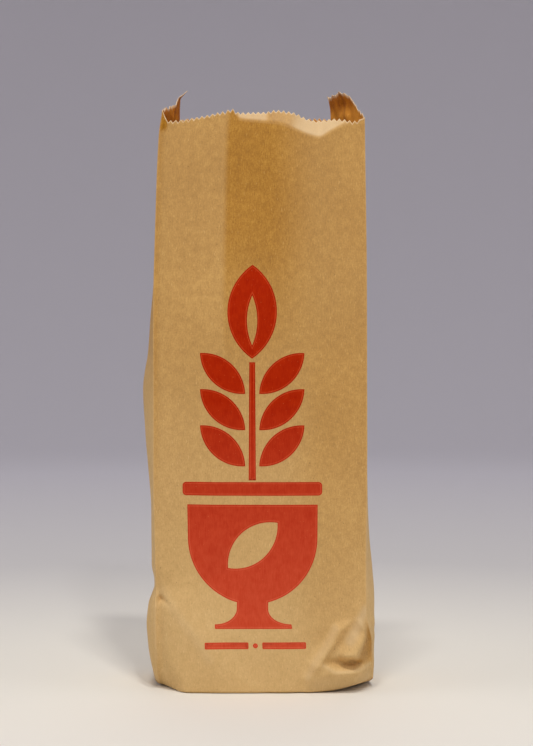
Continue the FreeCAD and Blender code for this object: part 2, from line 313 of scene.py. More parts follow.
def from_corner(s):
    """How far a place across the front or back is from the nearer corner crease."""
    return HALF_WIDE - np.abs(s)


def between_corners(face, s, z):
    """Where a place across the front or back stands, between its two corner creases."""
    share = (s + HALF_WIDE) / (2 * HALF_WIDE)
    return corner_x[f"{face}_left"](z) * (1 - share) + corner_x[f"{face}_right"](z) * share


def front_at(s, z):
    """A point of the front's outer face, by place across the paper and height."""
    free = from_corner(s)
    drawn = setback["front_left"](z) * ease((-34 - s) / 13.5) ** 1.2
    drawn += setback["front_right"](z) * ease((s - 39) / 8.5)
    drawn += setback["foot_right"](z) * ease((s - 8) / 39.5)
    y = -HALF_DEEP - front_relief(s, z) * ease(free / PINNED)
    y += lip_back(s, z) * ease(free / 2.0) + edge_round(free) + drawn + turn_under(z - front_foot(s))
    return np.stack([between_corners("front", s, z), y, z], -1)


def back_at(s, z):
    """A point of the back's outer face."""
    free = from_corner(s)
    drawn = setback["back_left"](z) * ease((-24 - s) / 23.5)
    drawn += setback["back_right"](z) * ease((s - 24) / 23.5)
    y = HALF_DEEP + back_relief(s, z) * ease(free / PINNED)
    y -= edge_round(free) + drawn + turn_under(z - back_foot(s))
    return np.stack([between_corners("back", s, z), y, z], -1)


# ---- meshes ----------------------------------------------------------------------------------------

# The rows of a sheet, as shares of its height: close together at the foot, in its crumples and by the rim.
ROWS = [np.array([0, 0.05, 0.13, 0.25, 0.42, 0.65, 0.92]) / RIM, np.linspace(0.005, 0.2, 78)]
ROWS += [np.linspace(0.2, 0.94, 110)[1:], np.linspace(0.94, 0.994, 28)[1:], np.linspace(0.994, 1, 7)[1:]]
ROWS = np.concatenate(ROWS)
NEAR_CREASE = np.array([0.1, 0.22, 0.38])  # extra columns this far from a crease
SAW_REACH = 4.0  # rows this near the rim follow the teeth


def columns(low, high, pitch, creased=(True, True)):
    """Places across a sheet: four to a tooth, and closer beside a crease."""
    count = round((high - low) / pitch * 4)
    line = np.linspace(low, high, count + 1)
    extra = [low + NEAR_CREASE] if creased[0] else []
    extra += [high - NEAR_CREASE] if creased[1] else []
    return np.unique(np.round(np.concatenate([line] + extra), 6))


def saw(place, pitch, seed):
    """Depth of the saw cut below the teeth's points."""
    step = place / pitch
    tooth = np.round(step - 0.5)
    uneven = np.array([1 + 0.35 * noise.noise(Vector((t * 1.7, seed, 0.5))) for t in np.atleast_1d(tooth)])
    return TOOTH_DEEP * uneven.reshape(np.shape(step)) * (1 - np.abs(2 * (step % 1) - 1))


def heights(foot, top, cut):
    """Heights of a sheet's rows at each column, pulled down to the saw cut near the top."""
    foot, top, cut = (np.broadcast_to(v, np.shape(foot))[:, None] for v in (foot, top, cut))
    z = foot + (top - foot) * ROWS[None, :]
    return z - cut * ease(1 - (top - z) / SAW_REACH)


def link_object(name, data):
    """An object in the scene for a mesh, a light or a camera."""
    made = bpy.data.objects.new(name, data)
    bpy.context.scene.collection.objects.link(made)
    return made


def lay_paper(mesh, flat):
    """Gives each corner of a mesh its point's place on the flat sheet, for the material."""
    uv = mesh.uv_layers.new(name="paper")
    corners = np.zeros(len(mesh.loops), int)
    mesh.loops.foreach_get("vertex_index", corners)
    uv.data.foreach_set("uv", (flat * MM)[corners].astype(np.float32).ravel())


def shell(name, outer, paper, cut=None, crease=None, lip=None, painted_shade=None, thick=PLY, flip=False):
    """A sheet of paper from a grid of points on its outer face: two faces and its cut edges. It is flipped
    where the grid's columns run so that the outer face would point into the bag.

    paper holds each point's place on the flat sheet. For the material, cut holds how near it is to a raw
    edge, crease how near to a fold, lip how strongly it is painted pale as a painted highlight, and the last
    field how much painted shade it has, which makes it darker and more golden."""
    painted_shade = painted_shade_by_height(outer[..., 2]) if painted_shade is None else painted_shade
    way = -1 if flip else 1
    outer, paper = outer[::way], paper[::way]
    across, up = outer.shape[:2]
    normal = np.cross(np.gradient(outer, axis=0), np.gradient(outer, axis=1))
    normal /= np.linalg.norm(normal, axis=-1, keepdims=True) + 1e-12
    points = np.concatenate([outer.reshape(-1, 3), (outer - normal * thick).reshape(-1, 3)]) * MM
    index = np.arange(across * up).reshape(across, up)
    a, b, c, d = index[:-1, :-1], index[1:, :-1], index[1:, 1:], index[:-1, 1:]
    face = np.stack([a, b, c, d], -1).reshape(-1, 4)
    faces = [face, face[:, ::-1] + across * up]
    for line in (index[:, 0], index[-1, :], index[::-1, -1], index[0, ::-1]):
        start, end = line[:-1], line[1:]
        faces.append(np.stack([end, start, start + across * up, end + across * up], -1))
    kinds = np.concatenate([np.full(len(f), i) for i, f in enumerate(faces)])
    faces = np.concatenate(faces)
    mesh = bpy.data.meshes.new(name)
    mesh.from_pydata(points.tolist(), [], faces.tolist())
    lay_paper(mesh, np.tile(paper.reshape(-1, 2), (2, 1)))
    for label, field in (("cut", cut), ("crease", crease), ("lip", lip), ("painted_shade", painted_shade)):
        layer = mesh.attributes.new(label, "FLOAT", "POINT")
        value = np.broadcast_to(0.0 if field is None else field, (across, up))[::way]
        layer.data.foreach_set("value", np.tile(value.ravel(), 2).astype(np.float32))
    mesh.polygons.foreach_set("use_smooth", np.ones(len(faces), bool))
    mesh.polygons.foreach_set("material_index", np.where(kinds == 0, 0, 1).astype(np.int32))
    mesh.validate()
    mesh.set_sharp_from_angle(angle=SHARP)
    return link_object(name, mesh)


def near_crease(distance):
    """1 on a crease and 0 clear of its worn fibres."""
    return ease(1 - distance / CREASE_REACH)


def near_rim(z, top, reach=0.8):
    """1 at the saw cut and 0 further than a fibre's length below it."""
    return ease(1 - (top - z) / reach)


def near_line(s, z, points, reach):
    """1 on a line of straight runs and 0 further than the reach from it."""
    nearest = np.full(np.shape(z), 1e9)
    for (x0, z0), (x1, z1) in zip(points, points[1:]):
        run = (x1 - x0, z1 - z0)
        share = np.clip(((s - x0) * run[0] + (z - z0) * run[1]) / (run[0] ** 2 + run[1] ** 2), 0, 1)
        nearest = np.minimum(nearest, np.hypot(s - x0 - share * run[0], z - z0 - share * run[1]))
    return ease(1 - nearest / reach)


# Painted shade and light: the paper is painted paler by the foot, standing in for bounce light from the
# floor, and darker and more golden by the mouth, most of all between the front's two long folds.
painted_shade_by_height = smooth([(0, 0), (24, 0.02), (60, 0.2), (115, 0.38), (160, 0.52), (267, 0.56)])
pit_line = [(28, 14.5), (33, 13.4), (41, 13.0)]  # along the hollow by the right foot


def front_painted_shade(s, z):
    """The painted shade by place on the front: over the painted shade by height, darker and more golden
    between the long folds, beside the left corner, in the middle of the right, in the hollow and the recess
    of the crumple by the right foot, and on the facet where the left corner turns at the rim."""
    middle = ease((s + 17.8) / 3.4) * (1 - 0.85 * ease((s - 2) / 26)) * ease((z - 120) / 95)
    edge = ease(1 - (s + HALF_WIDE) / 4.0) * ease((z - 60) / 60)
    right = ease((s - 6) / 24) * ease((z - 14) / 14) * (1 - ease((z - 110) / 70))
    # painted shade in the recess under the ridge by the right corner, and along the hollow by the right foot
    tucked_shade = ease((s - 40 - 0.456 * (z - 16)) / 2.2) * ease((z - 11) / 3) * (1 - ease((z - 28) / 6))
    tucked_shade = np.maximum(tucked_shade, 0.6 * near_line(s, z, pit_line, 3.6))
    turned = ease((-43.4 - s) / 1.2) * ease((z - 248) / 3)
    return painted_shade_by_height(z) + 0.32 * middle + 0.14 * edge + 0.2 * right + 0.55 * tucked_shade + 0.4 * turned


# How strongly the bent lip is painted pale across the front: a painted highlight where it faces the light
# from above.
lip_pale = smooth([(-14, 0.9), (0.5, 0.95), (3, 0.4), (12, 0.4), (17, 1), (31, 1.05), (40, 0.6), (44, 0.2)])
# Painted highlights: the lines along which the foot's ridges, its ledge and its left corner crease face the
# light are painted pale: (how strongly, how far either side, the line).
highlight_lines = [
    (0.4, 2.6, [(32.6, 29.4), (27.0, 21.4), (21.2, 13.0), (18.6, 7.0)]),
    (0.7, 3.6, [(47.4, 37), (43.4, 30.6), (37.6, 23.6)]),
    (0.35, 1.2, [(25.6, 13.0), (30.4, 9.8), (38, 10.2), (43.2, 11.0), (46.6, 11.8)]),
    (0.3, 6.0, [(22, 4), (47, 5.5)]),
    (0.22, 4.0, [(-45, 45), (-37, 35), (-29, 24), (-24, 15)]),
    (0.3, 0.9, [(-47.2, 40), (-47.2, 26), (-47.2, 14)]),
]


def front_sheet():
    """The front, with its teeth, its bent lip painted pale as a highlight and painted highlights along the
    ridges of its foot.
    """
    s = columns(-HALF_WIDE, HALF_WIDE, TOOTH)
    cut = saw(s + HALF_WIDE, TOOTH, 1.0) * ease((from_corner(s) - 1.2) / 3.5)
    z = heights(front_foot(s), front_rim(s), cut)
    wide = np.broadcast_to(s[:, None], z.shape)
    folded = np.maximum(near_crease(from_corner(wide)), 0.6 * ease(1 - np.abs(z - lip_line(wide)) / 0.8))
    # painted highlights: the bent lip and the lit ridges and creases of the foot
    turned = ease((z - lip_line(wide)) / 1.6) * lip_pale(wide)
    for strength, reach, points in highlight_lines:
        turned = np.maximum(turned, strength * near_line(wide, z, points, reach))
    paper = np.stack([wide, z], -1)
    near = near_rim(z, z[:, -1:])
    return shell("front_sheet", front_at(wide, z), paper, near, folded, turned, front_painted_shade(wide, z))


def crumpled(across, z, way):
    """Unevenness of an ear, from -1 to 1, and nothing below the mouth."""
    if z < MOUTH:
        return 0.0
    return noise.noise(Vector((across / 3.4, way * 4.0, z / 7.0)))


def gusset_sheet(side, end):
    """Half a gusset, from its corner crease to its centre crease."""
    way = -1 if side == "left" else 1
    at_corner = front_at if end == "front" else back_at
    low, high = (front_foot, front_rim) if end == "front" else (back_foot, back_rim)
    free = columns(0, HALF_DEEP, EAR_TOOTH)
    t = free / HALF_DEEP
    seed = 3.0 + way + (end == "rear") * 5
    ragged = ease((t - 0.22) / 0.1) if end == "front" else 0.35
    cut = saw(free, EAR_TOOTH, seed) * (1 - ragged) + ragged * torn(free, seed)
    foot, rim = low(way * HALF_WIDE), high(way * HALF_WIDE)
    top = rim + (RIM + EAR - rim) * ear_profile[f"{side}_{end}"](t)
    z = heights(foot * (1 - t) ** 2 + 0.3, top, cut)
    z[0] = heights(foot[None], rim[None], np.zeros(1))[0]
    s = np.full(z.shape, way * HALF_WIDE)
    edge = at_corner(s, z)
    inward = pushed_in[side](z)
    centre = np.stack([way * (HALF_WIDE - inward), np.zeros_like(z), z], -1)
    points = edge * (1 - t[:, None, None]) + centre * t[:, None, None]
    t, free = t[:, None], free[:, None]
    points[..., 0] += way * gusset_relief[f"{side}_{end}"](np.broadcast_to(free, z.shape), z)
    # the ears are crinkled, and the left one ends in a torn wisp that leans inwards
    above = ease((z - MOUTH) / 14)
    crinkle = np.array([[crumpled(v[0], height, way) for height in row] for v, row in zip(free, z)])
    points[..., 0] += way * 1.1 * crinkle * above * ease((1 - t) * 5) * ease(t * 5)
    points[..., 0] -= way * CURL[side] * np.clip(z - EAR_FOOT, 0, None) ** 2 * ease(t * 3)
    if side == "left":
        points[..., 0] += 0.8 * np.clip(z - WISP, 0, None) * ease((t - 0.75) / 0.25)
    points[..., 0] += way * (edge_round(0.0) - edge_round(free))
    around = free if end == "front" else 2 * HALF_DEEP - free
    paper = np.stack([np.broadcast_to(way * (HALF_WIDE + around), z.shape), z], -1)
    folded = near_crease(np.minimum(free, HALF_DEEP - free)) * np.ones_like(z)
    cut_near = near_rim(z, z[:, -1:], 0.8 + 0.9 * ease(t * 2))
    # Painted shade: a little more above the mouth on the left ear and a little less, painted light, on the
    # right one, and darker towards the ears' tops.
    lit_mouth = 0.4 if side == "left" else -0.14
    painted_shade = painted_shade_by_height(z) + lit_mouth * above + 0.7 * ease((z - EAR_FOOT) / 7)
    # Painted light: the front halves are painted paler from about 20 mm up to 190 mm, where they show beside
    # the front.
    if end == "front":
        painted_shade -= 0.35 * ease((z - 20) / 20) * (1 - ease((z - 110) / 80))
    name = f"gusset_{side}_{end}_sheet"
    return shell(name, points, paper, cut_near, folded, None, painted_shade, flip=(way == 1) != (end == "front"))


# The top of each gusset half as a share of the ear's height, from the corner crease to the centre crease.
ear_profile = curves({
    "left_front": [(0, 0), (0.2, 0.2), (0.6, 0.42), (0.78, 0.7), (0.9, 1.02), (0.96, 1.2), (1, 1.42)],
    "left_rear": [(0, 0), (0.5, 0.4), (0.9, 0.85), (1, 1.2)],
    "right_front": [(0, 0), (0.06, 0.16), (0.13, 0.25), (0.19, 0.36), (0.26, 0.58), (0.33, 0.8), (0.4, 0.93),
        (0.55, 1.09), (0.66, 1.14), (0.77, 1.07), (0.92, 1.03), (1, 0.94)],
    "right_rear": [(0, 0), (0.4, 0.7), (0.8, 1.0), (1, 1.06)],
})


def torn(place, seed):
    """Depth of a ragged tear below its highest fibres."""
    slow = [noise.noise(Vector((v * 0.55, seed, 2.5))) for v in place]
    quick = [noise.noise(Vector((v * 1.7, seed, 9.1))) for v in place]
    return 0.9 * (np.array(slow) + 0.6 * np.array(quick) + 0.7)


def gusset_field(name, points):
    """A gusset's relief: pinned at the corner and centre creases."""
    pinned = [[(x, z, 0) for z in (-4, 50, 100, 150, 200, 272)] for x in (-1, HALF_DEEP + 1)]
    inner = [(t * HALF_DEEP, z, out) for t, z, out in points]
    field = Relief((-1, -2), (HALF_DEEP + 1, 272), pinned, inner, soft=1.2, seed=20.0 + 3 * len(name))

    def at(a, z):
        free = np.minimum(a, HALF_DEEP - a)
        return field(a, z) * ease(free / PINNED)

    return at


gusset_relief = {name: gusset_field(name, points) for name, points in gusset_points.items()}


def back_sheet(name, low, high, inset, seed):
    """One side of the back, its strip under the seam set in by the other ply."""
    s = columns(low, high, TOOTH, (low <= -HALF_WIDE, high >= HALF_WIDE))
    z = heights(back_foot(s), back_rim(s), saw(s + HALF_WIDE, TOOTH, seed))
    wide = np.broadcast_to(s[:, None], z.shape)
    points = back_at(wide, z)
    points[..., 1] -= inset(wide)
    paper = np.stack([4 * HALF_DEEP + 2 * HALF_WIDE - wide, z], -1)
    raw = high if low <= -HALF_WIDE else low
    near = np.maximum(near_rim(z, z[:, -1:]), ease(1 - np.abs(wide - raw) / 0.5))
    return shell(name, points, paper, near, near_crease(from_corner(wide)), flip=True)


def patch(edge_low, edge_high, side_low, side_high, u, v):
    """A surface stretched between four edges, each a function of its own share."""
    u, v = u[:, None, None], v[None, :, None]
    low, high = edge_low(u[:, 0, 0])[:, None], edge_high(u[:, 0, 0])[:, None]
    left, right = side_low(v[0, :, 0])[None], side_high(v[0, :, 0])[None]
    corners = (1 - u) * (1 - v) * low[:1, :1] + u * (1 - v) * low[-1:, :1]
    corners = corners + (1 - u) * v * high[:1, :1] + u * v * high[-1:, :1]
    return (1 - v) * low + v * high + (1 - u) * left + u * right - corners


def base_patch(end, u, v):
    """Half the base: from the front's or back's lower edge to the bottom fold."""
    at, foot = (front_at, front_foot) if end == "front" else (back_at, back_foot)
    way = -1 if end == "front" else 1
    s = (2 * u - 1) * HALF_WIDE
    outer = at(s, foot(s))
    fold_left = -HALF_WIDE + pushed_in["left"](0.0)
    fold_right = HALF_WIDE - pushed_in["right"](0.0)

    def outer_at(share):
        return np.stack([np.interp(share, u, outer[:, i]) for i in range(3)], -1)

    def fold(share):
        x = fold_left * (1 - share) + fold_right * share
        return np.stack([x, np.full_like(x, way * 0.02), np.full_like(x, BASE)], -1)

    def side(index):
        start, stop = outer[index], fold(np.array([float(index == -1)]))[0]

        def at_share(share):
            line = start * (1 - share[:, None]) + stop * share[:, None]
            line[:, 2] = BASE + (start[2] - BASE) * (1 - share) ** 2
            return line

        return at_share

    grid = patch(outer_at, fold, side(0), side(-1), u, v)
    grid[..., 2] = np.maximum(grid[..., 2], BASE)
    return grid


def base_sheet(end):
    """Half the base as a sheet; its place on the flat paper follows on from the front's or the back's."""
    u = shares(121)
    v = shares(41)
    grid = base_patch(end, u, v)
    across = np.broadcast_to(((2 * u - 1) * HALF_WIDE)[:, None], grid.shape[:2])
    way = 1 if end == "front" else -1
    paper = np.stack([across, -v[None, :] * HALF_DEEP + np.zeros_like(across) + 3 * way], -1)
    folded = near_crease(np.minimum(v, 1 - v)[None, :] * HALF_DEEP)
    return shell(f"base_{end}_sheet", grid, paper, crease=folded, flip=end == "front")


def tuck_sheet(end, side):
    """A folded corner: two plies that part a little towards their diagonal fold."""
    v = np.linspace(0.02, TUCK / HALF_DEEP, 26)
    turns = shares(31)
    wide_cells, deep_cells = 240, 100
    base = base_patch(end, shares(wide_cells + 1), shares(deep_cells + 1))
    way = -1 if side == "left" else 1

    def on_base(across, back):
        """A place on the base, by its distances from the side and from the front or back edge."""
        u = across / (2 * HALF_WIDE)
        u = u if side == "left" else 1 - u
        i = np.clip(u * wide_cells, 0, wide_cells - 0.001)
        j = np.clip(back / HALF_DEEP * deep_cells, 0, deep_cells - 0.001)
        a, b = i.astype(int), j.astype(int)
        fi, fj = (i - a)[..., None], (j - b)[..., None]
        low = base[a, b] * (1 - fi) + base[a + 1, b] * fi
        high = base[a, b + 1] * (1 - fi) + base[a + 1, b + 1] * fi
        return low * (1 - fj) + high * fj

    # across a row: out along the lower ply to the diagonal, round its fold, and back along the upper ply
    back = v[None, :] * HALF_DEEP
    out = np.where(turns < 0.5, turns * 2, 2 - turns * 2)[:, None]
    across = 0.4 + out * (back - 0.4)
    points = on_base(across, np.broadcast_to(back, across.shape))
    clear = 0.25
    gap = clear + 1.5 * ease(turns)[:, None] * (0.35 + 0.65 * out) * ease(back / HALF_DEEP * 1.5)
    points[..., 2] += clear + np.where(turns[:, None] < 0.5, 0, gap)
    points[..., 0] += way * (0.3 * (1 - out) - clear)
    along = way * (HALF_WIDE + across * (turns[:, None] - 0.5) * 2)
    paper = np.stack([along, -np.broadcast_to(back, across.shape)], -1)
    return shell(f"tuck_{end}_{side}_sheet", points, paper, flip=(side == "left") != (end == "front"))


def strip(name, u, v, place, paper, thick, cut=None):
    """A flat ply or glue line, by a function of its two shares."""
    a, b = np.meshgrid(u, v, indexing="ij")
    return shell(name, place(a, b), np.stack(paper(a, b), -1), thick=thick, cut=cut)


def hem_sheet():
    """The tube's end, turned under the rear half; its cut edge wanders a little."""

    def place(a, b):
        x = (2 * a - 1) * (HALF_WIDE - 0.3)
        wander = np.array([[0.35 * noise.noise(Vector((v * 0.09, 3.3, 0.1))) for v in row] for row in x])
        y = 0.05 + b * (HEM - 0.35 + wander)
        return np.stack([x, y, np.full_like(x, BASE - 0.02)], -1)

    def paper(a, b):
        return (2 * a - 1) * HALF_WIDE, -HALF_DEEP - b * HEM

    u, v = shares(161), shares(17)
    near = ease(1 - (1 - v)[None, :] * HEM / 0.6)
    return strip("hem_sheet", u, v, place, paper, BASE - 0.02, near)


def hem_glue():
    """The paste between the hem and the base."""

    def place(a, b):
        x = (2 * a - 1) * (HALF_WIDE - 1)
        return np.stack([x, 1.5 + b * (HEM - 3), np.full_like(x, BASE + 0.01)], -1)

    u, v = shares(61), shares(9)
    return strip("hem_glue_line", u, v, place, lambda a, b: (a * 90, b * 9), 0.03)


def seam_glue():
    """The paste between the two plies of the back seam."""

    def place(a, b):
        s, z = (2 * a - 1) * (LAP - 1.5), 14 + b * (RIM - 30)
        points = back_at(s, z)
        points[..., 1] -= PLY + 0.005
        return points[::-1]

    u, v = shares(25), shares(181)
    return strip("seam_glue_line", u, v, place, lambda a, b: (a * 12, b * 230), 0.03)


# ---- the print: a plain mortar with a sprig, over two short rules and a dot --------------------------

MARK_X = -3.5
INK = 0.05
INK_BANDS = (0.0, 0.5, 0.85)  # how far in from an outline the rim, the squeezed line and the solid start
SUNK = 0.02  # how far the film's underside reaches into the paper


def arc(x, z, radius, start, end, count, squeeze=1.0):
    """Points along an arc, in degrees; squeeze flattens it."""
    turn = np.radians(np.linspace(start, end, count))
    return [(x + radius * math.cos(a), z + radius * squeeze * math.sin(a)) for a in turn]


def mirrored(right):
    """A closed outline from its right half, listed from the bottom up."""
    return right + [(-x, z) for x, z in reversed(right)]


def rounded_bar(x, low, wide, tall, radius):
    """A bar with rounded corners."""
    corners = ((1, -1, -90), (1, 1, 0), (-1, 1, 90), (-1, -1, 180))
    made = []
    for sx, sz, start in corners:
        centre = (x + sx * (wide / 2 - radius), low + tall / 2 + sz * (tall / 2 - radius))
        made += arc(*centre, radius, start, start + 90, 7)
    return made


def leaf(x, z, long, wide, lean, count=28):
    """A pointed leaf about its middle, leaning clockwise from upright, in degrees."""
    radius = (long**2 + wide**2) / (4 * wide)
    half = math.degrees(math.asin(long / 2 / radius))
    side = radius - wide / 2
    shape = arc(-side, 0, radius, -half, half, count)[:-1]
    shape += arc(side, 0, radius, 180 - half, 180 + half, count)[:-1]
    turn = math.radians(lean)
    across, up = math.cos(turn), math.sin(turn)
    return [(x + a * across + b * up, z - a * up + b * across) for a, b in shape]


def mark_shapes():
    """Each shape as an outline and the holes in it, about the print's centre line."""
    bowl = [(17, 29)] + arc(17, 38, 10, -90, -180, 12, 0.7) + arc(0, 69, 29, -76, 0, 30) + [(29, 84)]
    shapes = [(mirrored(bowl), [leaf(0, 66, 30, 14.5, 48)])]
    shapes.append((rounded_bar(0, 88, 62, 6, 1.6), []))
    stem = [(1.7, 94.8)] + [(1.6 - 0.3 * i / 9, 95 + 52 * i / 9) for i in range(10)]
    shapes.append((mirrored(stem), []))
    shapes.append((leaf(0, 169.3, 41.5, 22, 0), [leaf(0, 165.5, 22, 4.6, 0)]))
    lean, long = 48.0, 27.0
    for pair in range(3):
        for way in (-1, 1):
            x = way * (3.1 + long / 2 * math.sin(math.radians(lean)))
            z = 101 + 16 * pair + long / 2 * math.cos(math.radians(lean))
            shapes.append((leaf(x, z, long, 11.5, way * lean), []))
    for way in (-1, 1):
        shapes.append((rounded_bar(way * 12.5, 20, 19, 3, 0.5), []))
    shapes.append((arc(0, 21.5, 1.1, 0, 345, 24), []))
    return shapes


def offset(outline, by):
    """An outline moved inwards by a distance, or outwards if it is negative."""
    p = np.array(outline)
    if 0.5 * np.sum(p[:, 0] * np.roll(p[:, 1], -1) - np.roll(p[:, 0], -1) * p[:, 1]) < 0:
        p = p[::-1]
    edge = np.roll(p, -1, 0) - p
    edge /= np.linalg.norm(edge, axis=1, keepdims=True)
    inward = np.stack([-edge[:, 1], edge[:, 0]], -1)
    before = np.roll(inward, 1, 0)
    meet = np.maximum(1 + np.sum(inward * before, 1), 0.35)
    return p + by * (inward + before) / meet[:, None]


def ink_shape(bm, outline, holes):
    """A flat shape at y 0: a rim and a squeezed line inside each of its edges, and the solid within."""
    inner_edges = []
    for loop, sign in [(outline, 1)] + [(hole, -1) for hole in holes]:
        rings = []
        for inset in INK_BANDS:
            rings.append([bm.verts.new((x + MARK_X, 0, z)) for x, z in offset(loop, sign * inset)])
        count = len(rings[0])
        for band in range(len(INK_BANDS) - 1):
            outer, inner = rings[band], rings[band + 1]
            for i in range(count):
                j = (i + 1) % count
                face = bm.faces.new([outer[i], outer[j], inner[j], inner[i]][::sign])
                face.material_index = band
        last = rings[-1]
        inner_edges += [bm.edges.get((last[i], last[(i + 1) % count])) for i in range(count)]
    filled = bmesh.ops.triangle_fill(bm, use_beauty=True, use_dissolve=False, edges=inner_edges)
    for face in only_faces(filled["geom"]):
        face.material_index = len(INK_BANDS) - 1


def only_faces(geometry):
    return [item for item in geometry if isinstance(item, bmesh.types.BMFace)]


def everything(bm):
    return bm.verts[:] + bm.edges[:] + bm.faces[:]


def cut_into_squares(bm, pitch=2.0):
    """Cuts the flat shapes on a grid, so that they can follow the paper."""
    for axis, low, high in ((0, -34, 28), (2, 20, 190)):
        for at in np.arange(low + pitch, high, pitch):
            spot, way = Vector((0, 0, 0)), Vector((0, 0, 0))
            spot[axis], way[axis] = at, 1
            bmesh.ops.bisect_plane(bm, geom=everything(bm), plane_co=spot, plane_no=way, dist=1e-5)
    bmesh.ops.recalc_face_normals(bm, faces=bm.faces)
    if sum(face.normal.y for face in bm.faces) > 0:
        bmesh.ops.reverse_faces(bm, faces=bm.faces)


def lay_film(bm, flat):
    """Lays the flat shapes on the front as a closed film, from their flat places."""
    count = len(flat)
    under = bmesh.ops.duplicate(bm, geom=everything(bm))
    bmesh.ops.reverse_faces(bm, faces=only_faces(under["geom"]))
    bm.verts.ensure_lookup_table()
    bm.verts.index_update()
    for i, point in enumerate(front_at(flat[:, 0], flat[:, 2])):
        bm.verts[i].co = (point - (0, INK, 0)) * MM
        bm.verts[i + count].co = (point + (0, SUNK, 0)) * MM
    rims = [edge for edge in bm.edges if len(edge.link_faces) == 1 and edge.verts[0].index < count]
    for edge in rims:
        a, b = (vertex.index for vertex in edge.verts)
        if edge.link_loops[0].vert.index == a:
            a, b = b, a
        face = bm.faces.new([bm.verts[i] for i in (a, b, b + count, a + count)])
        face.material_index = 0


def printed_film():
    """The ink: a darker rim, a thin paler line inside it where the ink was squeezed out, and the solid."""
    bm = bmesh.new()
    for outline, holes in mark_shapes():
        ink_shape(bm, outline, holes)
    cut_into_squares(bm)
    flat = np.array([vertex.co for vertex in bm.verts])
    lay_film(bm, flat)
    mesh = bpy.data.meshes.new("print_film")
    bm.to_mesh(mesh)
    bm.free()
    lay_paper(mesh, np.tile(flat[:, [0, 2]], (2, 1)))
    mesh.polygons.foreach_set("use_smooth", np.ones(len(mesh.polygons), bool))
    mesh.set_sharp_from_angle(angle=SHARP)
    return link_object("print_film", mesh)


# ---- materials -------------------------------------------------------------------------------------

def linear(red, green, blue):
    """Display colour, 0 to 255, as linear light."""
    shares = (red / 255, green / 255, blue / 255)
    return [((c + 0.055) / 1.055) ** 2.4 if c > 0.04045 else c / 12.92 for c in shares] + [1]


def feed(tree, socket, value):
    """Sets a socket to a number or colour, or links another socket to it."""
    if isinstance(value, bpy.types.NodeSocket):
        tree.links.new(value, socket)
    else:
        socket.default_value = value


def add(tree, kind, settings=(), **inputs):
    """Adds a node. An input is named with _ for a space, or i and its number."""
    node = tree.nodes.new(kind)
    for name, value in settings:
        setattr(node, name, value)
    for name, value in inputs.items():
        numbered = name[0] == "i" and name[1:].isdigit()
        feed(tree, node.inputs[int(name[1:]) if numbered else name.replace("_", " ")], value)
    return node


def mix(tree, share, first, second):
    """Mixes two colours: the Mix node's colour sockets are its seventh and eighth."""
    node = add(tree, "ShaderNodeMix", (("data_type", "RGBA"),), i0=share, i6=first, i7=second)
    return node.outputs[2]


def plus(tree, first, second):
    return add(tree, "ShaderNodeMath", (("operation", "ADD"),), i0=first, i1=second).outputs[0]


def times(tree, first, second, clamp=False):
    settings = (("operation", "MULTIPLY"), ("use_clamp", clamp))
    return add(tree, "ShaderNodeMath", settings, i0=first, i1=second).outputs[0]


def weighted(tree, *parts):
    """The sum of values times their weights."""
    total = times(tree, *parts[0])
    for part in parts[1:]:
        total = plus(tree, total, times(tree, *part))
    return total


def ramp(tree, value, stops):
    """A ramp of grey levels or colours."""
    node = add(tree, "ShaderNodeValToRGB", Fac=value)
    bar = node.color_ramp.elements
    while len(bar) < len(stops):
        bar.new(0.5)
    for element, (place, colour) in zip(bar, stops):
        element.position = place
        element.color = colour if isinstance(colour, list) else [colour] * 3 + [1]
    return node.outputs["Color"]


def texture(tree, paper, across, up, detail=3.0, rough=0.6, shift=0.0):
    """Noise on the flat paper with so many cells a metre across and up it."""
    move = (shift, shift * 0.7, 0)
    placed = add(tree, "ShaderNodeMapping", Vector=paper, Scale=(across, up, 1), Location=move).outputs[0]
    node = add(tree, "ShaderNodeTexNoise", Vector=placed, Scale=1.0, Detail=detail, Roughness=rough)
    return node.outputs["Fac"]


def attribute(tree, name):
    return add(tree, "ShaderNodeAttribute", (("attribute_name", name),)).outputs["Fac"]


def new_material(name):
    """A material with an empty node tree."""
    material = bpy.data.materials.new(name)
    material.use_nodes = True
    material.node_tree.nodes.clear()
    return material, material.node_tree


def paper_material(name):
    """A new material, with its places on the flat sheet."""
    material, tree = new_material(name)
    return material, tree, add(tree, "ShaderNodeUVMap", (("uv_map", "paper"),)).outputs[0]


def surface(tree, colour, rough, specular, **more):
    """The shader and the output."""
    looks = {"Base_Color": colour, "Roughness": rough, "Specular_IOR_Level": specular}
    shader = add(tree, "ShaderNodeBsdfPrincipled", **looks, **more)
    add(tree, "ShaderNodeOutputMaterial", Surface=shader.outputs[0])


def bumped_surface(tree, colour, rough, height, bump, distance, specular):
    bumped = add(tree, "ShaderNodeBump", Strength=bump, Distance=distance, Height=height)
    surface(tree, colour, rough, specular, Normal=bumped.outputs[0])


def fibre_height(tree, paper):
    """The relief of felted fibres: fine along the sheet, with a coarser formation under it."""
    fine = texture(tree, paper, 3400, 900, 3, 0.65)
    cross = texture(tree, paper, 1500, 2600, 2, 0.6, 5.0)
    cloud = texture(tree, paper, 420, 330, 3, 0.6, 9.0)
    height = plus(tree, fine, times(tree, cross, 0.6))
    return plus(tree, height, times(tree, cloud, 0.8))


